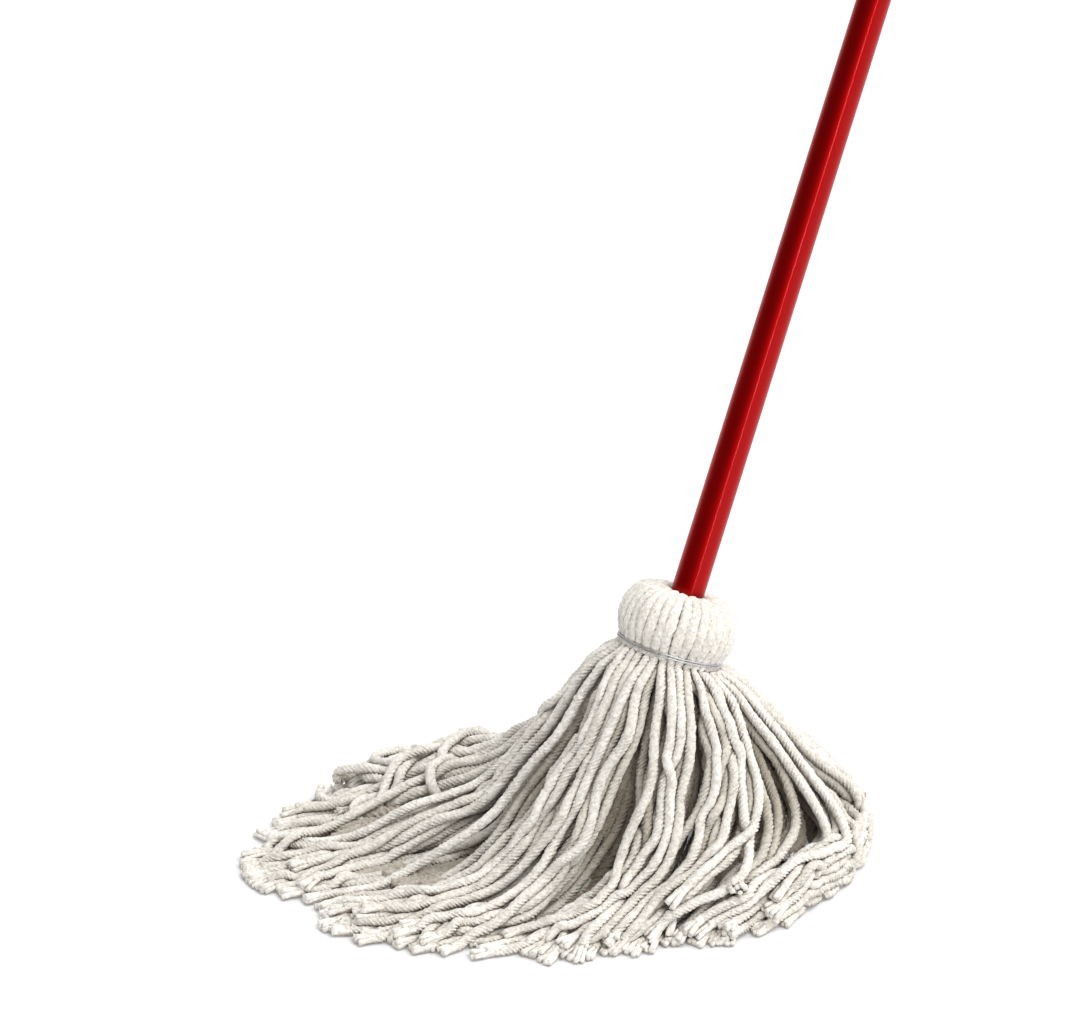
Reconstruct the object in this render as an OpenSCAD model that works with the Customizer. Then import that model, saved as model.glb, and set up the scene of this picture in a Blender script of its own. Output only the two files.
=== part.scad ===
// Wire-bound cotton string mop (deck mop) standing on its spread yarn.
// Millimetres. +Z is up and the floor is z = 0. The origin is on the floor, straight
// below the centre of the outer binding wire. The handle leans towards +X.

/* [Handle] */
// Outside diameter of the coated steel tube
tube_d = 24; // [22:0.5:25]
// Wall thickness of the tube
tube_wall = 0.5; // [0.4:0.1:1.0]
// Length of the tube
tube_len = 1200; // [900:10:1500]
// Lean of the handle from upright, in degrees
lean = 25; // [15:1:30]
// Diameter of the hole that hangs the mop on a peg
hang_hole_d = 9; // [6:0.5:11]

/* [Yarn head] */
// Height of the outer binding wire above the floor
neck_h = 160; // [150:5:180]
// Diameter of the yarn bundle under the outer wire
neck_d = 76.4; // [75:0.2:78]
// Greatest diameter of the folded yarn above the wire
knob_d = 87; // [84:0.5:90]
// Height of the folded yarn above the wire
knob_h = 42.5; // [40:0.5:44]

/* [Spread on the floor] */
// Half the length of the oval that the yarn covers
spread_a = 220; // [190:5:250]
// Half the width of that oval
spread_b = 162; // [140:2:180]
// How far the oval's centre trails behind the neck
trail = 84; // [60:2:100]
// Direction in which the yarn trails, counted from +X
trail_dir = 151; // [120:1:180]
// Thickness of the yarn on the floor where the locks begin to lie flat
pile_h = 26; // [20:1:32]

/* [Wires] */
// Diameter of the galvanised binding wire
wire_d = 1.4; // [1.2:0.1:1.6]
// Turns of the outer wire
outer_turns = 2; // [2:1:3]
// Turns of the inner wire
inner_turns = 4; // [3:1:5]

/* [Hidden] */
$fn = 96;

locks = 16;            // locks of outer strands round the neck
folds = 8;             // sectors of the folded yarn
wrap = 360;            // a full turn, in degrees
clear = 0.1;           // air between yarn solids of one body
wire_gap = 0.3;        // air under the wires, whose turns are drawn with straight steps

// Tube and its fittings, measured along the handle from the outer wire
tube_r = tube_d / 2;
bore_r = tube_r - tube_wall;
tube_foot = -12;       // lower end of the tube
tube_top = tube_foot + tube_len;
plug_len = 34;
plug_flange = 2;
pin_r = 1.5;
pin_len = 36;
pin_at = 14;           // anchor pin, just under the inner wire's turns
cap_stem = 30;
cap_collar = 7;
cap_chamfer = 1.2;
tab_w = 20;
tab_t = 9;
tab_rise = 20;         // hole centre above the collar's underside

// Yarn round the handle
core_r = 21;           // outside of the straight yarn that lies on the tube
core_top = 34;
neck_r = neck_d / 2;
groove = 2.4;          // half the height of the outer wire's groove
joint_r = 45.4;        // ball of yarn under the wire, centred on the wire
lock_r = 49.4;         // where the locks begin, clear of that ball
centre_r = 46.2;       // where the straight strands under the ball end

// Inner wire, wound in a waist of the straight yarn
waist_r = 18;
waist_at = 22;
waist_half = 4.5;

// Locks
bell = 112;            // how far out from the neck the yarn falls to the floor
lock_start = 18;       // their top, in degrees below the wire's own plane
lock_inset = 1.2;      // half the gap between two locks, in degrees
lock_crown = 3;        // rise of a lock's middle above its edges
tip_h = 12;            // thickness at the cut ends
bulge = 190;           // how far forward the leading strands swing before they turn back
sweep = 0.65;          // end direction over start direction, round the trailing axis
skirt_t = 30;          // thickness of the skirt, measured straight down
skirt_foot = 40;       // degrees of the ball that a lock's start covers
skirt_low = -62;       // lowest elevation of that start
centre_top_r = 20;     // strands straight below the handle
centre_foot_r = 31;

function numbered(name, count) = [for (i = [1:count]) str(name, "_", i < 10 ? "0" : "", i)];

// ---------------------------------------------------------------- helpers

// Puts its children in the handle's own frame: origin at the wire, +Z along the handle.
module on_handle() {
    translate([0, 0, neck_h]) rotate([0, lean, 0]) children();
}

// Points of an elliptical arc about [r, h], from angle a0 to a1.
function arc(centre, semi, a0, a1, steps) = [
    for (i = [0:steps])
        let (a = a0 + (a1 - a0) * i / steps)
        [centre[0] + semi[0] * cos(a), centre[1] + semi[1] * sin(a)]
];

// Faces of a closed skin through rings of n points each. The list cap closes its first
// ring, and the same list turned over closes its last.
function skin_faces(rings, n, cap) = concat(
    cap,
    [for (i = [0:rings - 2], j = [0:n - 1])
        let (a = i * n + j, b = i * n + (j + 1) % n)
        each [[a, a + n, b], [b, a + n, b + n]]],
    [for (f = cap) [for (j = [len(f) - 1:-1:0]) (rings - 1) * n + f[j]]]
);

// A round wire through stations [radius, angle, height] about the Z axis.
module wire(stations, sides = 8) {
    rings = [for (s = stations, j = [0:sides - 1])
        let (w = wrap * j / sides, r = s[0] + wire_d / 2 * cos(w), z = s[2] + wire_d / 2 * sin(w))
        [r * cos(s[1]), r * sin(s[1]), z]];
    polyhedron(rings, skin_faces(len(stations), sides, [[for (j = [0:sides - 1]) j]]), convexity = 6);
}

// Stations of a helix about the Z axis, its middle at height h.
function helix(r, h, turns, pitch, start, steps) = [
    for (i = [0:turns * steps])
        let (t = i / steps)
        [r, start + wrap * t, h + pitch * (t - turns / 2)]
];

// ---------------------------------------------------------------- handle

module handle_tube() {
    color("firebrick") on_handle() translate([0, 0, tube_foot]) difference() {
        cylinder(h = tube_len, r = tube_r);
        translate([0, 0, -1]) cylinder(h = tube_len + 2, r = bore_r);
        translate([0, 0, pin_at - tube_foot]) rotate([90, 0, 0])
            cylinder(h = tube_d + 2, r = pin_r, center = true);
    }
}

module hanger_cap() {
    hole_at = tab_rise;
    color("dimgray") on_handle() translate([0, 0, tube_top]) difference() {
        union() {
            translate([0, 0, -cap_stem]) cylinder(h = cap_stem, r = bore_r);
            cylinder(h = cap_collar - cap_chamfer, r = tube_r);
            translate([0, 0, cap_collar - cap_chamfer])
                cylinder(h = cap_chamfer, r1 = tube_r, r2 = tube_r - cap_chamfer);
            translate([-tab_w / 2, -tab_t / 2, cap_collar - 1]) cube([tab_w, tab_t, hole_at - cap_collar + 1]);
            translate([0, 0, hole_at]) rotate([90, 0, 0]) cylinder(h = tab_t, r = tab_w / 2, center = true);
        }
        translate([0, 0, hole_at]) rotate([90, 0, 0]) cylinder(h = tab_t + 2, d = hang_hole_d, center = true);
        translate([0, 0, -cap_stem - 1]) cylinder(h = cap_stem - 3, r = bore_r - 2.5);
    }
}

module foot_plug() {
    color("tan") on_handle() difference() {
        union() {
            translate([0, 0, tube_foot]) cylinder(h = plug_len, r = bore_r);
            translate([0, 0, tube_foot - plug_flange]) cylinder(h = plug_flange, r = tube_r);
        }
        translate([0, 0, pin_at]) rotate([90, 0, 0]) cylinder(h = tube_d, r = pin_r, center = true);
    }
}

module anchor_pin() {
    head_t = 1.2;
    color("silver") on_handle() translate([0, 0, pin_at]) rotate([90, 0, 0]) {
        cylinder(h = pin_len, r = pin_r, center = true);
        translate([0, 0, pin_len / 2]) cylinder(h = head_t, r = 2 * pin_r);
    }
}

// ---------------------------------------------------------------- binding wires

module inner_wire() {
    color("silver") on_handle()
        wire(helix(waist_r + wire_d / 2 + wire_gap, waist_at, inner_turns, wire_d * 1.1, 0, 24));
}

// Two turns in the groove, and the two ends twisted together and bent flat along it.
module outer_wire() {
    turn_r = neck_r + wire_d / 2 + wire_gap;
    tail_r = turn_r + wire_d * 1.4;
    tail_start = -14;
    tail_span = 26;
    tail_turns = 3;
    color("silver") on_handle() {
        wire(helix(turn_r, 0, outer_turns, wire_d * 1.1, 0, 36));
        for (side = [0, 180])
            wire([for (i = [0:36])
                let (twist = side + tail_turns * wrap * i / 36)
                [tail_r + wire_d * 0.48 * cos(twist), tail_start + tail_span * i / 36,
                 wire_d * 0.48 * sin(twist)]]);
    }
}

// ---------------------------------------------------------------- yarn on the handle

// The half of the yarn that lies straight along the tube, under the fold.
module straight_yarn() {
    color("linen") on_handle() difference() {
        rotate_extrude() polygon([
            [tube_r, -groove + clear], [core_r, -groove + clear],
            [core_r, waist_at - waist_half - 4], [waist_r, waist_at - waist_half],
            [waist_r, waist_at + waist_half], [core_r, waist_at + waist_half + 4],
            [core_r, core_top], [tube_r, core_top]
        ]);
        translate([0, 0, pin_at]) rotate([90, 0, 0]) {
            cylinder(h = pin_len + 1, r = pin_r + clear, center = true);
            translate([0, 0, pin_len / 2 - clear]) cylinder(h = 2, r = 2 * pin_r + clear);
        }
    }
}

// One sector of the yarn folded back over the inner wire and down to the outer one.
module fold(i) {
    gap = 1;
    step = wrap / folds;
    outer = [knob_d / 2 - 16.5, knob_h - 23];
    inner = [knob_d / 2 - 16.5, knob_h - 6.5];
    skirt = asin((groove - outer[1]) / 23);
    profile = concat(
        [[core_r + clear, -groove + clear], [neck_r, -groove + clear], [neck_r, groove]],
        arc(outer, [16.5, 23], skirt + 1, 90, 12),
        arc(inner, [14.6, 6.5], 100, 165, 5),
        [[tube_r + 0.6, core_top + clear], [core_r + clear, core_top + clear]]
    );
    color("ivory") on_handle() rotate([0, 0, i * step + gap / 2])
        rotate_extrude(angle = step - gap) polygon(profile);
}

// The gathered yarn just below the wire, round the handle's end: a ball about the wire's centre.
module neck_yarn() {
    flare = 16;
    color("linen") on_handle() rotate_extrude() polygon(concat(
        [[0, tube_foot - plug_flange - clear], [tube_r + clear, tube_foot - plug_flange - clear],
         [tube_r + clear, -groove], [neck_r, -groove]],
        arc([0, 0], [joint_r, joint_r], -flare, -90, 16)
    ));
}

// ---------------------------------------------------------------- yarn on the floor

// Radius of the oval footprint in the direction a, counted from the trailing axis.
function reach(a) =
    let (u = cos(a) / spread_a, v = sin(a) / spread_b, w = trail / spread_a)
    (u * w + sqrt(u * u * w * w + (u * u + v * v) * (1 - w * w))) / (u * u + v * v);

// Plan of a strand that leaves the neck in direction a: out, then swept back to the trailing side.
function plan(a, t) =
    let (end_a = sweep * a + (1 - sweep) * 180 * sign(a) * pow(abs(a) / 180, 5),
         swing = reach(0) / 2 + (bulge - reach(0) / 2) * (1 - cos(a)) / 2,
         start = trail_dir + a,
         end = trail_dir + end_a,
         k1 = 2 * t * (1 - t) * swing,
         k2 = t * t * reach(end_a))
    [k1 * cos(start) + k2 * cos(end), k1 * sin(start) + k2 * sin(end)];

function smooth(x) = let (c = min(1, max(0, x))) c * c * (3 - 2 * c);

// Height of the wire's own plane seen from the neck in direction a, in degrees.
function plane_tilt(a) = -atan(tan(lean) * cos(trail_dir + a));

// Top of the yarn, where its plan lies q from the neck: a bell that flattens into the pile.
function top_z(a, q, t) =
    let (rise = plane_tilt(a) - lock_start,
         z0 = neck_h + lock_r * sin(rise),
         drop = bell - 7 * cos(a),
         pile = pile_h + (tip_h - pile_h) * t * t)
    pile + (z0 - pile) * (1 - smooth((q - lock_r) / drop));

// First share of the plan at which a strand is r from the neck's axis.
function share_at(a, r, t = 0.02) = norm(plan(a, t)) >= r ? t : share_at(a, r, t + 0.004);

// Share of the plan at which a lock ends: the leading ones stop where they turn back.
function last_share(a) = 1 - 0.25 * pow(abs(a) / 180, 5);

// A point on the lock's start, on a sphere about the wire, e degrees above level.
function start_point(a, e) = [
    lock_r * cos(e) * cos(trail_dir + a),
    lock_r * cos(e) * sin(trail_dir + a),
    neck_h + lock_r * sin(e)
];

// Top and underside of a lock along direction a, at station i of n.
function top_point(a, i, n) =
    i == 0 ? start_point(a, plane_tilt(a) - lock_start)
           : let (t0 = share_at(a, lock_r),
                  t = t0 + (last_share(a) - t0) * pow(i / n, 1.1),
                  p = plan(a, t))
             [p[0], p[1], top_z(a, norm(p), t)];

function low_point(a, i, n) =
    let (p = top_point(a, i, n))
    i == 0 ? start_point(a, max(skirt_low, plane_tilt(a) - lock_start - skirt_foot))
           : [p[0], p[1], max(0, p[2] - skirt_t)];

// One lock of strands, from the ball under the wire to its cut ends on the floor.
module lock(k) {
    n = 12;
    step = wrap / locks;
    a0 = k * step - 180 + lock_inset;
    a1 = (k + 1) * step - 180 - lock_inset;
    am = (a0 + a1) / 2;
    rings = [for (i = [0:n])
        let (crown = [0, 0, i == 0 ? 0 : lock_crown])
        each [top_point(a0, i, n), top_point(am, i, n) + crown, top_point(a1, i, n),
              low_point(a1, i, n), low_point(am, i, n), low_point(a0, i, n)]];
    cap = [[0, 1, 4], [0, 4, 5], [1, 2, 3], [1, 3, 4]];
    color("ivory") polyhedron(rings, skin_faces(n + 1, 6, cap), convexity = 6);
}

// The strands straight below the handle, with a flat foot on the floor.
module centre_strands() {
    color("linen") difference() {
        cylinder(h = neck_h - 30, r1 = centre_foot_r, r2 = centre_top_r - 1);
        translate([0, 0, neck_h]) sphere(r = centre_r);
    }
}

// ---------------------------------------------------------------- assembly

handle_tube();
hanger_cap();
foot_plug();
anchor_pin();
inner_wire();
outer_wire();
straight_yarn();
neck_yarn();
centre_strands();
for (i = [0:folds - 1]) fold(i);
for (k = [0:locks - 1]) lock(k);
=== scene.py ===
"""Cotton string mop: yarn, wire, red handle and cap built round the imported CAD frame. Metres, row frame."""

import math

import bpy
import numpy as np
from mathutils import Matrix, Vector


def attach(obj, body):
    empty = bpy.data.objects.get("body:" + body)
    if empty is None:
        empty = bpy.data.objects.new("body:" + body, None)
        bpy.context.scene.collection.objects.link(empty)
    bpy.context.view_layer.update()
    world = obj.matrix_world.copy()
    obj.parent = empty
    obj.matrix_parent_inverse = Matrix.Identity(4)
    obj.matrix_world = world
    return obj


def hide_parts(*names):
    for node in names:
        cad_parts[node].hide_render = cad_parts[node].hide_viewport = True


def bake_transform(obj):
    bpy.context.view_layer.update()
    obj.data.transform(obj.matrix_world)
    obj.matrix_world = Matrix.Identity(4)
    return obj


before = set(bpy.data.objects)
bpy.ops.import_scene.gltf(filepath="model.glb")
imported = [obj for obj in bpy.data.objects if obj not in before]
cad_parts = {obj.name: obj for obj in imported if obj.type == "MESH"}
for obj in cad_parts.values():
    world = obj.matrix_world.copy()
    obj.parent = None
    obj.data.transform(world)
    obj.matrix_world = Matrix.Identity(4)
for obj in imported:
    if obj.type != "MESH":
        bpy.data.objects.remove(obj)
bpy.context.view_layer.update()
scene = bpy.context.scene
rng = np.random.default_rng(20)

# ------------------------------------------------------------------ the mop's own geometry, in mm

MM = 0.001
TURN = 2 * math.pi
LEAN = math.radians(25)
RING = np.array([0.0, 0.0, 160.0])                      # centre of the outer wire, and of the hinge
AXIS = np.array([math.sin(LEAN), 0.0, math.cos(LEAN)])  # along the handle
SIDE = np.array([math.cos(LEAN), 0.0, -math.sin(LEAN)])
CROSS = np.array([0.0, 1.0, 0.0])
TUBE_R, TUBE_BORE_R, TUBE_FOOT, TUBE_TOP = 12.0, 11.5, -12.0, 1188.0
TRAIL_DIR = math.radians(151)                           # where the strands trail to
SPREAD_A, SPREAD_B, TRAIL = 220.0, 162.0, 84.0          # half axes of the oval footprint, and its shift
INSIDE = 6.0                                            # how far one layer of strands lies inside the next
YARN_R = 3.6
NECK_YARN_R = 2.95                                      # yarn squeezed by the wire
FLOOR_GAP = 0.3                                         # air between the yarn and the floor
STRAND = 366.0                                          # a strand's full length below the neck
# radius of each ring of strands at the neck, and how many are in it
LAYERS = [(35.3, 38), (31.0, 36), (26.0, 35), (21.0, 32), (15.5, 26), (10.0, 12), (5.0, 6)]
LINING = 120                                            # thin strands, painted dark as shade, that close the bell from inside
LINING_R = 1.2, 5.2                                     # their least and greatest radius
# a strand that leaves the neck this many degrees from the trailing axis ends at this many
LEAVES = [0, 45, 90, 150, 172, 180]
ENDS = [0, 23, 47, 90, 114, 134]
# by the direction that a strand leaves in: LAND is the distance from the middle at which it comes down, and
# FALL is the bell's fall per mm outwards: steepest where strands hang straight down beside the trail
FALL_AT = [-180, -110, -60, 0, 40, 80, 115, 150, 180]
FALL = [1.12, 1.5, 1.5, 1.38, 1.5, 1.95, 1.5, 1.15, 1.12]
LAND_AT = [-180, -150, -120, -90, -60, 0, 30, 60, 90, 120, 140, 160, 180]
LAND = [212, 192, 156, 130, 136, 156, 132, 108, 106, 126, 156, 206, 212]
# how far short of the outline strands end, by the direction they end in
EDGE_AT = [-120, -60, -25, 0, 20, 45, 75, 100, 125]
EDGE_GAP = [10, -4, -8, 20, 46, 44, 28, 2, -8]


def along(path):
    """Distance of each point from the path's start."""
    return np.concatenate([[0], np.cumsum(np.linalg.norm(np.diff(path, axis=0), axis=1))])


def from_trail(angle):
    """An angle of the plan, counted from the trailing axis, between -pi and pi."""
    return (angle - TRAIL_DIR + math.pi) % TURN - math.pi


def on_handle(x, y, h):
    """Points of the handle's own frame (origin at the wire, h along the handle) in the row frame."""
    x, y, h = np.asarray(x, float), np.asarray(y, float), np.asarray(h, float)
    return RING + x[..., None] * SIDE + y[..., None] * CROSS + h[..., None] * AXIS


def smooth(x):
    """A step from 0 to 1 with soft ends, as x goes from 0 to 1."""
    c = np.clip(x, 0, 1)
    return c * c * (3 - 2 * c)


def reach(a):
    """Radius of the oval footprint in direction a, counted from the trailing axis."""
    u, v, w = math.cos(a) / SPREAD_A, math.sin(a) / SPREAD_B, TRAIL / SPREAD_A
    return (u * w + math.sqrt(u * u * w * w + (u * u + v * v) * (1 - w * w))) / (u * u + v * v)


def heading(a):
    """Unit vector of the plan in direction a, counted from the trailing axis."""
    return np.stack([np.cos(TRAIL_DIR + a), np.sin(TRAIL_DIR + a)], -1)


def steepness(a):
    """Fall of the bell per mm outwards in direction a."""
    return float(np.interp(math.degrees(a), FALL_AT, FALL))


def start_height(a):
    """Height of the yarn's surface at the neck in direction a."""
    tilt = -math.atan(math.tan(LEAN) * math.cos(TRAIL_DIR + a))
    return RING[2] + 47 * math.sin(tilt - math.radians(8))


def lie_z(a, plan, layer):
    """Height of a strand's middle at its plan points: down the bell, then on the pile, under outer layers."""
    q = np.linalg.norm(plan, axis=1)
    way = from_trail(np.arctan2(plan[:, 1], plan[:, 0]))
    rim = np.array([reach(w) for w in way])
    pile = 8 + 42 * (1 - np.clip(q / rim, 0, 1)) - 5.0 * layer
    # heaped at the far side of the trail
    pile = pile + 20 * smooth(-way / 0.35) * smooth((way + 1.2) / 0.4)
    cone = start_height(a) - YARN_R * 1.6 - (q + INSIDE * layer - 46) * steepness(a)
    soft = 18.0
    return np.maximum(YARN_R, pile + soft * np.logaddexp(0, (cone - pile) / soft))


# ------------------------------------------------------------------ strands of the skirt

BEADS = 84                                              # points along a strand while it settles
SETTLE_STEPS = 420
NEAR = 8.2                                              # beads closer than this are tested for contact


def resample(path, count, length=None):
    """The path as count points evenly spaced along it, cut at length."""
    at = along(path)
    end = at[-1] if length is None else min(length, at[-1])
    s = np.linspace(0, end, count)
    return np.stack([np.interp(s, at, path[:, k]) for k in range(3)], -1), end


def waves(values, seed, tones, size):
    """A smooth random curve of values, as a sum of a few sines."""
    r = np.random.default_rng(seed)
    out = np.zeros_like(values, dtype=float)
    for tone in tones:
        out += np.sin(values * tone * r.uniform(0.85, 1.15) + r.uniform(0, 6.28)) * r.uniform(0.6, 1.0)
    return out * size / len(tones)


def guide(layer, radius, phi, seed, steady=False):
    """The lie of one strand before it settles: out of the neck, down the bell, and away over the floor.

    A steady one belongs to the lining, and wanders less. Gives its points, length and direction."""
    r = np.random.default_rng(seed)
    a = from_trail(phi)
    if not steady:
        uneven = float(waves(np.array([phi]), 7, [5, 9, 14], 0.19)[0])
        a += uneven + r.normal(0, math.radians(2 + 1.5 * layer))
    a = (a + math.pi) % TURN - math.pi
    share = abs(a) / math.pi
    turned = math.radians(np.interp(math.degrees(abs(a)), LEAVES, ENDS))
    scatter = 0.25 if steady else 1.0
    end_a = math.copysign(turned, a) + r.normal(0, math.radians(5)) * scatter
    length = STRAND * (1 + r.normal(0, 0.035))
    gap = float(np.interp(math.degrees(end_a), EDGE_AT, EDGE_GAP))
    far = (reach(end_a) - gap) * min(1.0, max(0.74, 0.96 + r.normal(0, 0.05)))
    land = float(np.interp(math.degrees(a), LAND_AT, LAND)) + r.normal(0, 6 + 8 * share) * scatter
    land = land - (INSIDE + 1.5) * layer
    corner = land * heading(a)
    end = far * heading(end_a)
    leg = np.linalg.norm(end - corner)
    on = (end - corner) / leg
    cut = min(0.72 * land, 0.8 * leg, r.uniform(75, 115))
    t = np.linspace(0, 1, 40)[:, None]
    bend_from, bend_to = corner - cut * heading(a), corner + cut * on
    plan = np.vstack([
        bend_from * t[:-1],
        bend_from * (1 - t) ** 2 + 2 * t * (1 - t) * corner + t * t * bend_to,
        bend_to + (end + 8 * on - bend_to) * t[1:],
    ])
    q = np.linalg.norm(plan, axis=1)
    z = lie_z(a, plan, layer)
    body = np.column_stack([plan, z])
    base = radius * math.cos(phi), radius * math.sin(phi)
    neck = on_handle(np.full(3, base[0]), np.full(3, base[1]), np.array([2.0, -3.0, -8.0]))
    path = np.vstack([neck, body[q > 51 - 3.5 * layer]])
    path = resample(path, 200)[0]
    for _ in range(6):
        path[1:-1] = 0.5 * path[1:-1] + 0.25 * (path[:-2] + path[2:])
    # wander, a little on the bell and more on the floor
    dist = along(path)
    tangent = np.gradient(path[:, :2], axis=0)
    tangent /= np.maximum(1e-6, np.linalg.norm(tangent, axis=1))[:, None]
    normal = np.stack([-tangent[:, 1], tangent[:, 0]], -1)
    wander = waves(dist / 100.0, seed + 1, [3.0, 5.5], r.uniform(3, 8)) * smooth((dist - 110) / 110)
    wander += waves(dist / 100.0, seed + 3, [3.0, 7.5], 6.0) * smooth((dist - 12) / 60)
    calm = 0.3 if steady else 1 - 0.55 * smooth((share - 0.5) / 0.3)
    path[:, :2] += normal * wander[:, None] * calm
    path[:, 2] += waves(dist / 100.0, seed + 2, [5.0, 9.0], 3.4) * smooth((dist - 40) / 60)
    path[:, 2] = np.maximum(YARN_R, path[:, 2])
    if not steady and -1.5 < a < -0.3 and layer < 3 and r.uniform() < 0.7:
        path = curl(path, r)
    points, used = resample(path, BEADS, length)
    return points, used, a


def curl(path, r):
    """Turns the last part of a strand round into a loose curl."""
    dist = along(path)
    total = dist[-1]
    span = r.uniform(70, 120)
    turn = r.choice([-1, 1], p=[0.35, 0.65]) * r.uniform(1.2, 3.6)
    out = path.copy()
    for i in range(1, len(path)):
        step = path[i] - path[i - 1]
        share = smooth((dist[i] - (total - span)) / span)
        ang = turn * share
        c, s = math.cos(ang), math.sin(ang)
        out[i] = out[i - 1] + [c * step[0] - s * step[1], s * step[0] + c * step[1], step[2]]
    lift = r.uniform(8, 26)
    out[:, 2] += lift * np.sin(np.clip((dist - (total - span)) / span, 0, 1) * math.pi)
    return out


def near_pairs(points, strand, index, limit):
    """Pairs of beads closer than limit, leaving out neighbours along a strand."""
    cell = np.floor(points / limit).astype(np.int64)
    cell -= cell.min(0) - 1
    size = cell.max(0) + 2
    key = (cell[:, 0] * size[1] + cell[:, 1]) * size[2] + cell[:, 2]
    order = np.argsort(key, kind="stable")
    ranked = key[order]
    found_i, found_j = [], []
    shifts = [(dx, dy, dz) for dx in (-1, 0, 1) for dy in (-1, 0, 1) for dz in (-1, 0, 1)]
    shifts = [s for s in shifts if s > (0, 0, 0)] + [(0, 0, 0)]
    for dx, dy, dz in shifts:
        other = key + (dx * size[1] + dy) * size[2] + dz
        lo = np.searchsorted(ranked, other, "left")
        hi = np.searchsorted(ranked, other, "right")
        count = hi - lo
        who = np.repeat(np.arange(len(points)), count)
        start = np.repeat(lo - np.concatenate([[0], np.cumsum(count)[:-1]]), count)
        match = order[start + np.arange(len(who))]
        if (dx, dy, dz) == (0, 0, 0):
            ok = match > who
            who, match = who[ok], match[ok]
        found_i.append(who)
        found_j.append(match)
    i, j = np.concatenate(found_i), np.concatenate(found_j)
    apart = np.linalg.norm(points[i] - points[j], axis=1) < limit
    i, j = i[apart], j[apart]
    ok = (strand[i] != strand[j]) | (np.abs(index[i] - index[j]) > 3)
    return i[ok], j[ok]


def settle(paths, lengths, steps):
    """Lets the strands push one another apart and sink onto the floor, keeping their length and lie."""
    count, beads = paths.shape[:2]
    p = paths.copy()
    target = paths.copy()
    seg = (lengths / (beads - 1))[:, None]
    s = seg * np.arange(beads)[None]
    free = smooth((s - 9) / 14)[..., None]
    radius = NECK_YARN_R + (YARN_R - NECK_YARN_R) * smooth((s - 5) / 40)
    strand = np.repeat(np.arange(count), beads)
    index = np.tile(np.arange(beads), count)
    rad = radius.ravel() * 0.97
    bell = 1 - smooth((s - 120) / 150)
    pull = (0.007 + 0.075 * bell)[..., None]
    n = count * beads
    own = np.zeros_like(p)                              # the bend that a strand keeps of its own
    own[:, 1:-1] = 0.7 * ((target[:, :-2] + target[:, 2:]) / 2 - target[:, 1:-1])
    for step in range(steps):
        if step % 4 == 0:
            i, j = near_pairs(p.reshape(-1, 3), strand, index, NEAR)
        p[..., 2] -= (0.18 - 0.15 * bell) * free[..., 0]
        p += (target - p) * pull * free
        bend = np.zeros_like(p)
        bend[:, 1:-1] = (p[:, :-2] + p[:, 2:]) / 2 - p[:, 1:-1] - own[:, 1:-1]
        p += bend * 0.25 * free
        flat = p.reshape(-1, 3)
        # push touching beads apart
        for _ in range(2):
            d = flat[i] - flat[j]
            dist = np.linalg.norm(d, axis=1)
            gap = rad[i] + rad[j] - dist
            hit = gap > 0
            push = d[hit] / np.maximum(dist[hit], 1e-6)[:, None] * (gap[hit] * 0.32)[:, None]
            ii, jj = i[hit], j[hit]
            for k in range(3):
                move = np.bincount(ii, push[:, k], n) - np.bincount(jj, push[:, k], n)
                flat[:, k] += move * free.reshape(-1)
        p = flat.reshape(count, beads, 3)
        # put each strand's steps back to their length
        for _ in range(3):
            for first in (0, 1):
                left, right = p[:, first:-1:2], p[:, first + 1::2]
                left = left[:, :right.shape[1]]
                d = right - left
                dist = np.linalg.norm(d, axis=2, keepdims=True)
                fix = d * (1 - seg[..., None] / np.maximum(dist, 1e-6))
                wl, wr = free[:, first:-1:2][:, :right.shape[1]], free[:, first + 1::2]
                share = np.maximum(wl + wr, 1e-6)
                p[:, first:-1:2][:, :right.shape[1]] += fix * wl / share * (wl > 0)
                p[:, first + 1::2] -= fix * wr / share * (wr > 0)
        p[..., 2] = np.maximum(p[..., 2], radius * 0.98)
        if step % 8 == 0:
            p[..., :2] *= held_in(p)[..., None]
    return p


def held_in(p):
    """Factor that brings each bead back inside the outline."""
    q = np.linalg.norm(p[..., :2], axis=-1)
    way = from_trail(np.arctan2(p[..., 1], p[..., 0]))
    turns = np.linspace(-math.pi, math.pi, 181)
    rim = np.interp(way, turns, [reach(w) for w in turns]) + 2
    return np.minimum(1, rim / np.maximum(q, 1e-6))


# ------------------------------------------------------------------ yarn meshes

PLIES = 6
SIDES = PLIES * 3                                       # a groove and two shoulders to a ply
LINING_SIDES = 12
PITCH = 20.0                                            # length of one turn of the twist
PLY_DEPTH = 0.15                                        # of a groove, as a share of the radius


def refine(path, spacing):
    """A smooth curve through the path's points, evenly spaced."""
    p = np.vstack([2 * path[0] - path[1], path, 2 * path[-1] - path[-2]])
    fine = []
    u = np.linspace(0, 1, 6, endpoint=False)[:, None]
    for k in range(1, len(p) - 2):
        a, b, c, d = p[k - 1], p[k], p[k + 1], p[k + 2]
        square, cube = 2 * a - 5 * b + 4 * c - d, 3 * b - a - 3 * c + d
        fine.append(0.5 * (2 * b + (c - a) * u + square * u ** 2 + cube * u ** 3))
    fine = np.vstack(fine + [path[-1:]])
    total = np.linalg.norm(np.diff(fine, axis=0), axis=1).sum()
    return resample(fine, max(4, int(round(total / spacing)) + 1))[0]


def frames(path, lead=None):
    """Two steady normals at each point of a path."""
    tangent = np.gradient(path, axis=0)
    tangent /= np.maximum(np.linalg.norm(tangent, axis=1), 1e-9)[:, None]
    n = np.array([0.3, 0.5, 0.81]) if lead is None else np.asarray(lead, float)
    normals = np.empty_like(path)
    for k, t in enumerate(tangent):
        n = n - t * np.dot(n, t)
        n /= max(np.linalg.norm(n), 1e-9)
        normals[k] = n
    return normals, np.cross(tangent, normals)


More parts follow.
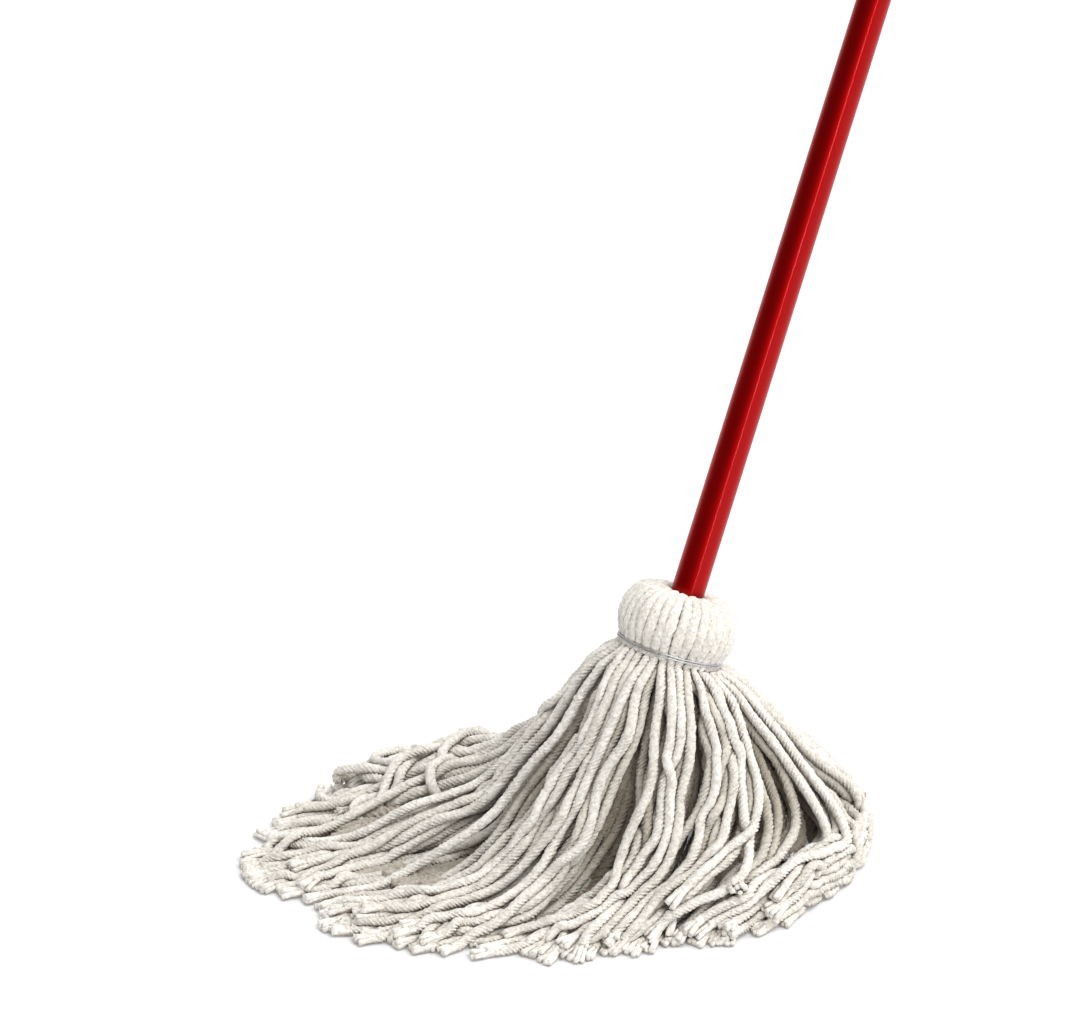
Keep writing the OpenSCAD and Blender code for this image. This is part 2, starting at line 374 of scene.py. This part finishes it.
class Skin:
    """Gathers tubes into one mesh."""

    def __init__(self):
        self.verts, self.quads, self.tris, self.tones, self.count = [], [], [], [], 0

    def tube(self, rings, cap_start=True, cap_end=True, tone=1.0):
        """Adds a tube. tone, one number or one for each ring, lightens or darkens its yarn."""
        n, m = rings.shape[:2]
        base = self.count
        tone = np.broadcast_to(np.asarray(tone, float), (n,))
        self.verts.append(rings.reshape(-1, 3))
        self.tones.append(np.repeat(tone, m))
        self.count += n * m
        i, j = np.meshgrid(np.arange(n - 1), np.arange(m), indexing="ij")
        a = base + i * m + j
        b = base + i * m + (j + 1) % m
        self.quads.append(np.stack([a, b, b + m, a + m], -1).reshape(-1, 4))
        for use, ring, flip in ((cap_start, 0, True), (cap_end, n - 1, False)):
            if use:
                centre = self.count
                self.verts.append(rings[ring].mean(0)[None])
                self.tones.append(tone[[ring]])
                self.count += 1
                k = np.arange(m)
                one, two = base + ring * m + k, base + ring * m + (k + 1) % m
                middle = np.full(m, centre)
                self.tris.append(np.stack([middle, two, one] if flip else [middle, one, two], -1))

    def build(self, name, material, slot):
        """Makes the mesh, with its tones, which carry random tone and painted shade, as a colour attribute, in
        which darker yarn is also browner.
        """
        verts = np.vstack(self.verts) * MM
        quads = np.vstack(self.quads)
        tris = np.vstack(self.tris) if self.tris else np.zeros((0, 3), int)
        mesh = bpy.data.meshes.new(name)
        loops = np.concatenate([quads.ravel(), tris.ravel()]).astype(np.int32)
        sizes = np.concatenate([np.full(len(quads), 4), np.full(len(tris), 3)]).astype(np.int32)
        mesh.vertices.add(len(verts))
        mesh.vertices.foreach_set("co", verts.ravel().astype(np.float32))
        mesh.loops.add(len(loops))
        mesh.loops.foreach_set("vertex_index", loops)
        mesh.polygons.add(len(sizes))
        starts = np.concatenate([[0], np.cumsum(sizes)[:-1]])
        mesh.polygons.foreach_set("loop_start", starts.astype(np.int32))
        mesh.polygons.foreach_set("use_smooth", np.ones(len(sizes), bool))
        mesh.update(calc_edges=True)
        tones = np.concatenate(self.tones)
        layer = mesh.color_attributes.new("tone", "FLOAT_COLOR", "POINT")
        colors = np.column_stack([tones, tones ** 1.12, tones ** 1.3, tones * 0 + 1])
        layer.data.foreach_set("color", colors.ravel().astype(np.float32))
        mesh.validate()
        obj = bpy.data.objects.new(name, mesh)
        scene.collection.objects.link(obj)
        mesh.materials.append(material)
        return obj


def yarn_rings(path, radius, twist0, r, sides=SIDES):
    """Cross-sections of a twisted multi-ply yarn along a path."""
    n1, n2 = frames(path)
    s = along(path)
    column = np.arange(sides)
    groove = np.where(column % 3 == 0, 1.0, -0.3)
    deep = PLY_DEPTH * (1 + waves(s / 10, int(r.integers(1 << 30)), [0.7, 1.9], 1.1))
    spin = twist0 + TURN * s / PITCH + waves(s / 10, int(r.integers(1 << 30)), [0.5, 1.3], 0.9)
    ang = TURN * column[None] / sides + spin[:, None]
    lump = 1 + waves(s / 10, int(r.integers(1 << 30)), [1.3, 4.1, 9.7], 0.12)
    grain = 1 + r.normal(0, 0.05, (len(s), sides))
    rad = (1 - groove[None] * deep[:, None]) * lump[:, None] * grain
    x = np.cos(ang) * rad * radius[:, None]
    y = np.sin(ang) * rad * radius[:, None]
    return path[:, None] + x[..., None] * n1[:, None] + y[..., None] * n2[:, None]


def frayed_end(skin, path, r, tone):
    """The plies at a cut end, a little loosened and cut off square."""
    end, back = path[-1], path[-1] - path[-4]
    back /= np.linalg.norm(back)
    side = np.cross(back, [0.2, 0.1, 1.0])
    side /= np.linalg.norm(side)
    up = np.cross(side, back)
    reach_mm = r.uniform(8, 13)
    wide = r.uniform(1.6, 3.2)
    for k in range(PLIES + 1):
        ang = TURN * (k + r.uniform(-0.3, 0.3)) / PLIES
        off = 0.0 if k == PLIES else 1.0
        out = (math.cos(ang) * side * 1.25 + math.sin(ang) * up * 0.8) * off
        length = reach_mm + r.uniform(-1.6, 1.6)
        flare = wide * r.uniform(0.5, 1.3)
        u = np.linspace(0, 1, 6)[:, None]
        line = end - back * 5 + back * (5 + length) * u + out * (YARN_R * 0.5 + flare * u ** 1.3)
        line = line + (np.array([0, 0, -1.0]) * 1.8 * u ** 2) + side * r.normal(0, 0.8) * u ** 2
        size = YARN_R * 0.47 * r.uniform(0.85, 1.15)
        line[:, 2] = np.maximum(line[:, 2], size * 1.25 + FLOOR_GAP)
        n1, n2 = frames(line)
        a = np.linspace(0, TURN, 7, endpoint=False)
        grow = (1 + 0.28 * u + r.normal(0, 0.06, (6, 1))) * size * (1 + r.normal(0, 0.09, (6, 7)))
        x, y = np.cos(a) * grow, np.sin(a) * grow
        rings = line[:, None] + x[..., None] * n1[:, None] + y[..., None] * n2[:, None]
        rings[..., 2] = np.maximum(rings[..., 2], FLOOR_GAP)
        skin.tube(rings, cap_start=False, tone=tone * np.linspace(1.0, 1.08, 6))


# ------------------------------------------------------------------ materials


def nodes_of(name):
    """A new material, its tree and its shader."""
    mat = bpy.data.materials.new(name)
    mat.use_nodes = True
    tree = mat.node_tree
    return mat, tree, tree.nodes["Principled BSDF"]


def texture(tree, kind, **values):
    """A texture node on the piece's own coordinates."""
    coord = tree.nodes.new("ShaderNodeTexCoord")
    node = tree.nodes.new(kind)
    for socket, value in values.items():
        node.inputs[socket].default_value = value
    tree.links.new(coord.outputs["Object"], node.inputs["Vector"])
    return node


def color_ramp(tree, source, *stops):
    """A colour ramp on source, with stops of (position, colour)."""
    ramp = tree.nodes.new("ShaderNodeValToRGB")
    elements = ramp.color_ramp.elements
    while len(elements) < len(stops):
        elements.new(0.5)
    for element, (position, color) in zip(elements, stops):
        element.position = position
        element.color = (*color, 1)
    tree.links.new(source, ramp.inputs["Fac"])
    return ramp.outputs["Color"]


def mixed(tree, kind, a, b, factor=1.0):
    """a and b, each a socket or a colour, blended."""
    mix = tree.nodes.new("ShaderNodeMix")
    mix.data_type = "RGBA"
    mix.blend_type = kind
    for socket, value in (("Factor", factor), ("A", a), ("B", b)):
        if isinstance(value, bpy.types.NodeSocket):
            tree.links.new(value, mix.inputs[socket])
        else:
            mix.inputs[socket].default_value = value
    return mix.outputs["Result"]


def cotton():
    """Undyed cotton: off-white, mottled, with specks of seed coat; darkened by the tone attribute, which holds
    random tone and painted shade, and by painted shade, darker and browner, in crevices and between strands.
    """
    mat, tree, shader = nodes_of("cotton_yarn")
    new, link = tree.nodes.new, tree.links.new
    tone = texture(tree, "ShaderNodeTexNoise", Scale=380, Detail=5)
    base = color_ramp(tree, tone.outputs["Fac"], (0.38, (0.60, 0.563, 0.50)), (0.59, (0.76, 0.732, 0.677)))
    seeds = texture(tree, "ShaderNodeTexNoise", Scale=560, Detail=1)
    speck = color_ramp(tree, seeds.outputs["Fac"], (0.72, (0, 0, 0)), (0.78, (1, 1, 1)))
    base = mixed(tree, "MIX", base, (0.20, 0.14, 0.09, 1), speck)
    # the tone attribute holds each strand's own random tone and the painted shade of strands inside the bell
    tone_and_painted_shade = new("ShaderNodeAttribute")
    tone_and_painted_shade.attribute_name = "tone"
    base = mixed(tree, "MULTIPLY", base, tone_and_painted_shade.outputs["Color"])
    # painted shade: ambient occlusion darkens and browns the base colour in crevices and between strands
    painted_crevice_shade = new("ShaderNodeAmbientOcclusion")
    painted_crevice_shade.inputs["Distance"].default_value = 0.011
    painted_crevice_shade.samples = 6
    deep = color_ramp(tree, painted_crevice_shade.outputs["AO"], (0.0, (0.15, 0.105, 0.07)), (0.22, (0.70, 0.64, 0.57)),
                      (0.48, (1, 1, 1)))
    base = mixed(tree, "MULTIPLY", base, deep)
    link(base, shader.inputs["Base Color"])
    fuzz = texture(tree, "ShaderNodeTexNoise", Scale=700, Detail=6)
    bump = new("ShaderNodeBump")
    bump.inputs["Strength"].default_value = 0.9
    bump.inputs["Distance"].default_value = 0.0014
    link(fuzz.outputs["Fac"], bump.inputs["Height"])
    link(bump.outputs["Normal"], shader.inputs["Normal"])
    shader.inputs["Roughness"].default_value = 0.95
    shader.inputs["Specular IOR Level"].default_value = 0.1
    shader.inputs["Sheen Weight"].default_value = 0.3
    shader.inputs["Sheen Roughness"].default_value = 0.6
    return mat


def spread(tree, source, low, high, socket):
    """Lets a socket vary between low and high with source."""
    values = tree.nodes.new("ShaderNodeMapRange")
    values.inputs["To Min"].default_value = low
    values.inputs["To Max"].default_value = high
    tree.links.new(source, values.inputs["Value"])
    tree.links.new(values.outputs["Result"], socket)


def red_coat():
    """Glossy red coating on steel."""
    mat, tree, shader = nodes_of("red_coating")
    noise = texture(tree, "ShaderNodeTexNoise", Scale=9, Detail=5)
    spread(tree, noise.outputs["Fac"], 0.07, 0.12, shader.inputs["Coat Roughness"])
    shader.inputs["Base Color"].default_value = (0.41, 0.0004, 0.001, 1)
    shader.inputs["Metallic"].default_value = 0.93
    shader.inputs["Roughness"].default_value = 0.45
    shader.inputs["Coat Weight"].default_value = 0.2
    shader.inputs["Coat IOR"].default_value = 1.45
    return mat


def plain(name, color, roughness, metallic=0.0, scale=160, amount=0.06):
    """One colour, with a roughness that varies by amount either way."""
    mat, tree, shader = nodes_of(name)
    noise = texture(tree, "ShaderNodeTexNoise", Scale=scale, Detail=4)
    low, high = max(0.02, roughness - amount), min(1.0, roughness + amount)
    spread(tree, noise.outputs["Fac"], low, high, shader.inputs["Roughness"])
    shader.inputs["Base Color"].default_value = (*color, 1)
    shader.inputs["Metallic"].default_value = metallic
    return mat


YARN = cotton()
RED = red_coat()
ZINC = plain("galvanised_wire", (0.66, 0.66, 0.68), 0.4, 1.0, 900, 0.12)
BLACK = plain("cap_plastic", (0.018, 0.018, 0.02), 0.42)
TAN = plain("plug_plastic", (0.5, 0.44, 0.35), 0.6)

for node, material in (("foot_plug", TAN), ("anchor_pin", ZINC), ("inner_wire", ZINC), ("hanger_cap", BLACK)):
    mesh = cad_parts[node].data
    mesh.materials.clear()
    mesh.materials.append(material)

# ------------------------------------------------------------------ skirt

paths, lengths, directions, levels = [], [], [], []
for layer, (radius, count) in enumerate(LAYERS):
    offset = rng.uniform(0, 6.28)
    for k in range(count):
        phi = offset + TURN * (k + rng.uniform(-0.12, 0.12)) / count
        points, used, a = guide(layer, radius + rng.uniform(-0.5, 0.5), phi, 1000 * layer + 10 * k)
        paths.append(points)
        lengths.append(used)
        directions.append(a)
        levels.append(layer)
paths, lengths = np.array(paths), np.array(lengths)
paths = settle(paths, lengths, SETTLE_STEPS)


def hang_lining(skin, phi):
    """One strand of the lining, its yarn painted dark as shade inside the bell, so that no floor shows between
    the others. It ends soon after it comes down.
    """
    r = np.random.default_rng(int(phi * 1000) + 40000)
    points, _, a = guide(4, 17.0, phi, 40000 + int(phi * 100), steady=True)
    path = refine(points, 3.4)
    path[:, 2] = np.maximum(path[:, 2], 3)
    s = along(path)
    down = s[np.argmax(path[:, 2] < 5)] if (path[:, 2] < 5).any() else s[-1]
    tail = down + 10 + 45 * smooth((2.2 - abs(a)) / 0.5)
    path, s = path[s < tail], s[s < tail]
    q = np.linalg.norm(path[:, :2], axis=1)
    path[:, :2] *= (1 - 0.14 * smooth((q - 60) / 70))[:, None]
    radius = np.clip(math.pi * q / LINING * 1.6, *LINING_R)
    rings = yarn_rings(path, radius, r.uniform(0, 6.28), r, sides=LINING_SIDES)
    rings[..., 2] = np.maximum(rings[..., 2], FLOOR_GAP)
    # painted shade: the lining is darkest near the middle and lighter where it comes out from under the bell
    skin.tube(rings, tone=0.36 + 0.26 * smooth((q - 125) / 60))


LOCKS = 16
CENTRE_LOCK = 8                                         # its piece also replaces the neck and the centre


def lock_of(a):
    """Which lock, from 0, a strand that leaves in direction a belongs to."""
    return int((a + math.pi) / TURN * LOCKS) % LOCKS


lining = [[] for _ in range(LOCKS)]
for k in range(LINING):
    phi = TURN * (k + 0.5) / LINING
    lining[lock_of(from_trail(phi))].append(phi)
groups = [[] for _ in range(LOCKS)]
for k, a in enumerate(directions):
    groups[lock_of(a)].append(k)
for g, members in enumerate(groups):
    skin = Skin()
    for k in members:
        r = np.random.default_rng(500 + k)
        spacing = 2.0 if levels[k] < 2 else 2.6
        path = refine(paths[k], spacing)
        s = np.linspace(0, lengths[k], len(path))
        radius = (NECK_YARN_R + (YARN_R - NECK_YARN_R) * smooth((s - 5) / 40)) * r.uniform(0.94, 1.06)
        rings = yarn_rings(path, radius, r.uniform(0, 6.28), r)
        rings[..., 2] = np.maximum(rings[..., 2], FLOOR_GAP)
        # painted shade: strands of inner layers are darker inside the bell, up to where they come out of it;
        # the random factor is the yarn's own tone
        painted_inner_shade = 0.16 * min(levels[k], 5) * (1 - smooth((s - 120) / 90))
        tone = r.uniform(0.94, 1.06) * (1 - painted_inner_shade)
        skin.tube(rings, tone=tone)
        frayed_end(skin, path, r, tone[-1])
    for phi in lining[g]:
        hang_lining(skin, phi)
    obj = skin.build(f"lock_yarn_{g + 1:02d}", YARN, "cotton_yarn")
    extra = ["neck_yarn", "centre_strands"] if g + 1 == CENTRE_LOCK else []
    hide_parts(f"lock_{g + 1:02d}", *extra)
    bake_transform(obj)

# ------------------------------------------------------------------ knob: the yarn folded back

FOLDS = 34
HANKS = 8
FOLD_PITCH = 30.0                                       # the folded yarn is twisted less tightly


def fold_profile(deep):
    """Centre line (radius, height) of a folded strand, from the wire, over the top and down the tube."""
    inset = 3.4
    b = np.radians(np.linspace(-43, 90, 26))
    outer = np.stack([27 + (16.5 - inset) * np.cos(b), 19.5 + (23 - inset) * np.sin(b)], -1)
    low = deep * 2.2
    inner = np.array([[24.0, 39.9 - low * 0.3], [20.5, 40.4 - low], [17.6, 39.9 - low],
                      [15.8, 38.0 - low], [15.2, 35.0 - low]])
    tail = np.array([[15.3 + deep * 1.5, 30.0], [15.4 + deep * 3.5, 20.0],
                     [15.6 + deep * 4.0, 6.0], [15.6 + deep * 4.0, -2.0]])
    start = np.array([[35.3, -4.0], [35.3, -1.0], [35.5, 1.4]])
    return np.vstack([start, outer, inner, tail])


knobs = [Skin() for _ in range(HANKS)]
for k in range(FOLDS):
    r = np.random.default_rng(9000 + k)
    phi0 = TURN * (k + r.uniform(-0.1, 0.1)) / FOLDS
    profile = fold_profile(float(k % 2))
    arc = along(profile)
    phi = phi0 + waves(arc / 10, 77 + k, [0.9, 2.1], 0.022) * smooth(arc / 12)
    bulge = waves(arc / 10, 177 + k, [0.8, 1.7], 0.9) * smooth(arc / 12)
    rad = profile[:, 0] + bulge * (profile[:, 0] > 30)
    path = refine(on_handle(rad * np.cos(phi), rad * np.sin(phi), profile[:, 1]), 1.7)
    local = path - RING
    axial = local @ AXIS
    radial = np.linalg.norm(local - axial[:, None] * AXIS, axis=1)
    # a strand is as wide as its share of the ring; inside, every other strand lies below its neighbours
    share = 1.0 - 0.5 * smooth((31 - radial) / 8)
    wide = np.minimum(4.6, math.pi * radial / (FOLDS * share) * 1.2)
    wide = np.where(axial < 2.5, np.minimum(wide, 3.35), wide)
    thick = np.where(axial < 1.5, 2.9, 3.5) - 0.75 * smooth((19 - radial) / 4)
    n1, n2 = frames(path, SIDE * math.cos(phi0) + CROSS * math.sin(phi0))
    s = along(path)
    column = np.arange(SIDES)
    lobe = np.where(column % 3 == 0, 0.92, 1.03)
    ang = TURN * column[None] / SIDES + (r.uniform(0, 6.28) + TURN * s / FOLD_PITCH)[:, None]
    grain = 1 + r.normal(0, 0.05, (len(s), SIDES))
    lump = 1 + waves(s / 10, 300 + k, [2.0, 4.4], 0.09)
    rr = lobe[None] * grain * lump[:, None]
    x, y = np.cos(ang) * rr * thick[:, None], np.sin(ang) * rr * wide[:, None]
    rings = path[:, None] + x[..., None] * n1[:, None] + y[..., None] * n2[:, None]
    knobs[int((phi0 % TURN) / TURN * HANKS) % HANKS].tube(rings, tone=r.uniform(0.95, 1.04))
for g, skin in enumerate(knobs):
    obj = skin.build(f"fold_yarn_{g + 1:02d}", YARN, "cotton_yarn")
    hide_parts(f"fold_{g + 1:02d}", *(["straight_yarn"] if g == 0 else []))
    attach(obj, "handle")

# ------------------------------------------------------------------ outer wire

WIRE_R = 0.48
WIRE_SIDES = 12
WIRE_TURNS = 2


def add_wire(skin, path):
    """A round wire along path."""
    n1, n2 = frames(path)
    a = np.linspace(0, TURN, WIRE_SIDES, endpoint=False)
    x, y = np.cos(a) * WIRE_R, np.sin(a) * WIRE_R
    skin.tube(path[:, None] + x[None, :, None] * n1[:, None] + y[None, :, None] * n2[:, None])


wire = Skin()
turns = np.linspace(0, WIRE_TURNS, 240)
ring_r = 38.95 + 0.12 * np.sin(turns * 17)
ring_h = 1.54 * (turns - 1) + 0.25 * np.sin(turns * 9.0)
add_wire(wire, on_handle(ring_r * np.cos(TURN * turns), ring_r * np.sin(TURN * turns), ring_h))
# the two ends, twisted together
u = np.linspace(0, 1, 90)
for side in (0, math.pi):
    twist = side + 6 * math.pi * u
    r_t = 40.9 + 0.62 * np.cos(twist)
    ang = np.radians(-14 + 26 * u)
    add_wire(wire, on_handle(r_t * np.cos(ang), r_t * np.sin(ang), 0.62 * np.sin(twist)))
obj = wire.build("binding_wire", ZINC, "zinc_wire")
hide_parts("outer_wire")
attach(obj, "handle")

# ------------------------------------------------------------------ handle tube

TUBE_SIDES = 128
BORE_RING = 40                                          # the bore has one ring between its ends, this far down
EDGE = TUBE_R - 0.25, 0.3                               # radius and height of the softened edge at each end


def tube_rings(profile):
    """Rings round the handle's axis, one for each (radius, height)."""
    a = np.linspace(0, TURN, TUBE_SIDES, endpoint=False)
    return np.array([on_handle(r0 * np.cos(a), r0 * np.sin(a), np.full(TUBE_SIDES, h)) for r0, h in profile])


tube = Skin()
profile = [(TUBE_BORE_R, TUBE_FOOT), (EDGE[0], TUBE_FOOT), (TUBE_R, TUBE_FOOT + EDGE[1])]
profile += [(TUBE_R, h) for h in np.linspace(TUBE_FOOT + 2, TUBE_TOP - 2, 60)]
profile += [(TUBE_R, TUBE_TOP - EDGE[1]), (EDGE[0], TUBE_TOP), (TUBE_BORE_R, TUBE_TOP)]
profile += [(TUBE_BORE_R, TUBE_TOP - BORE_RING), (TUBE_BORE_R, TUBE_FOOT)]
tube.tube(tube_rings(profile), False, False)
obj = tube.build("coated_tube", RED, "handle_coating")
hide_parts("handle_tube")
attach(obj, "handle")

# ------------------------------------------------------------------ stage, light and camera


def direction(azimuth, elevation):
    """Unit vector from the mop towards a place at this azimuth and elevation, in degrees."""
    a, e = math.radians(azimuth), math.radians(elevation)
    return Vector((math.sin(a) * math.cos(e), -math.cos(a) * math.cos(e), math.sin(e)))


AZ, EL = -46.0, 28.0                                    # where the camera stands
right = Vector((math.cos(math.radians(AZ)), math.sin(math.radians(AZ)), 0))
back = direction(AZ, EL)
up = back.cross(right)
VIEW_WIDTH = 0.7855                                     # metres that the picture spans at the mop
aim = right * -0.0889 + up * 0.2416
DISTANCE = 8.0                                          # far off, as the photograph has little perspective
camera = bpy.data.objects.new("camera", bpy.data.cameras.new("camera"))
scene.collection.objects.link(camera)
camera.location = aim + back * DISTANCE
camera.rotation_euler = back.to_track_quat("Z", "Y").to_euler()
camera.data.sensor_width = 36
camera.data.lens = camera.data.sensor_width * DISTANCE / VIEW_WIDTH
camera.data.clip_end = 50
bpy.context.scene.camera = camera


def add_floor(size, height, color, glow):
    """A large pale floor that the picture shows as white."""
    mesh = bpy.data.meshes.new("floor")
    h = size / 2
    mesh.from_pydata([(-h, -h, 0), (h, -h, 0), (h, h, 0), (-h, h, 0)], [], [(0, 1, 2, 3)])
    obj = bpy.data.objects.new("floor", mesh)
    obj.location = (0, 0, height)
    scene.collection.objects.link(obj)
    mat, tree, shader = nodes_of("floor")
    noise = tree.nodes.new("ShaderNodeTexNoise")
    noise.inputs["Scale"].default_value = 3
    spread(tree, noise.outputs["Fac"], 0.85, 0.95, shader.inputs["Roughness"])
    shader.inputs["Base Color"].default_value = color
    shader.inputs["Specular IOR Level"].default_value = 0.0
    shader.inputs["Emission Color"].default_value = (1, 1, 1, 1)
    shader.inputs["Emission Strength"].default_value = glow
    mesh.materials.append(mat)


def strip_light(azimuth, elevation, distance, width, height, power, roll):
    """A tall narrow light, seen as the bright line along the handle."""
    data = bpy.data.lights.new("strip", "AREA")
    data.shape = "RECTANGLE"
    data.size, data.size_y = width, height
    data.energy = power
    obj = bpy.data.objects.new("strip", data)
    scene.collection.objects.link(obj)
    towards = direction(azimuth, elevation)
    obj.location = Vector((0, 0, 0.25)) + towards * distance
    obj.rotation_euler = towards.to_track_quat("Z", "Y").to_euler()
    obj.rotation_euler.rotate_axis("Z", math.radians(roll))


def sun(name, azimuth, elevation, strength, softness, reflected=True):
    """Even light from one direction, softened over some degrees."""
    data = bpy.data.lights.new(name, "SUN")
    data.energy = strength
    data.angle = math.radians(softness)
    obj = bpy.data.objects.new(name, data)
    scene.collection.objects.link(obj)
    obj.rotation_euler = direction(azimuth, elevation).to_track_quat("Z", "Y").to_euler()
    obj.visible_glossy = reflected


add_floor(30, -0.0004, (0.6, 0.6, 0.6, 1), 0.2)
sun("key", AZ + 44, 64, 1.5, 30)
sun("side", AZ + 98, 40, 1.5, 40)
sun("fill", AZ - 70, 42, 0.4, 50, False)
sun("rim", AZ + 200, 42, 0.8, 40)
strip_light(AZ + 29, 26, 3.2, 0.10, 3.2, 34, -17)

world = bpy.data.worlds.new("world")
scene.world = world
world.use_nodes = True
background = world.node_tree.nodes["Background"]
background.inputs["Color"].default_value = (1, 1, 1, 1)
background.inputs["Strength"].default_value = 0.60
world.cycles_visibility.glossy = False

scene.view_settings.view_transform = "Standard"
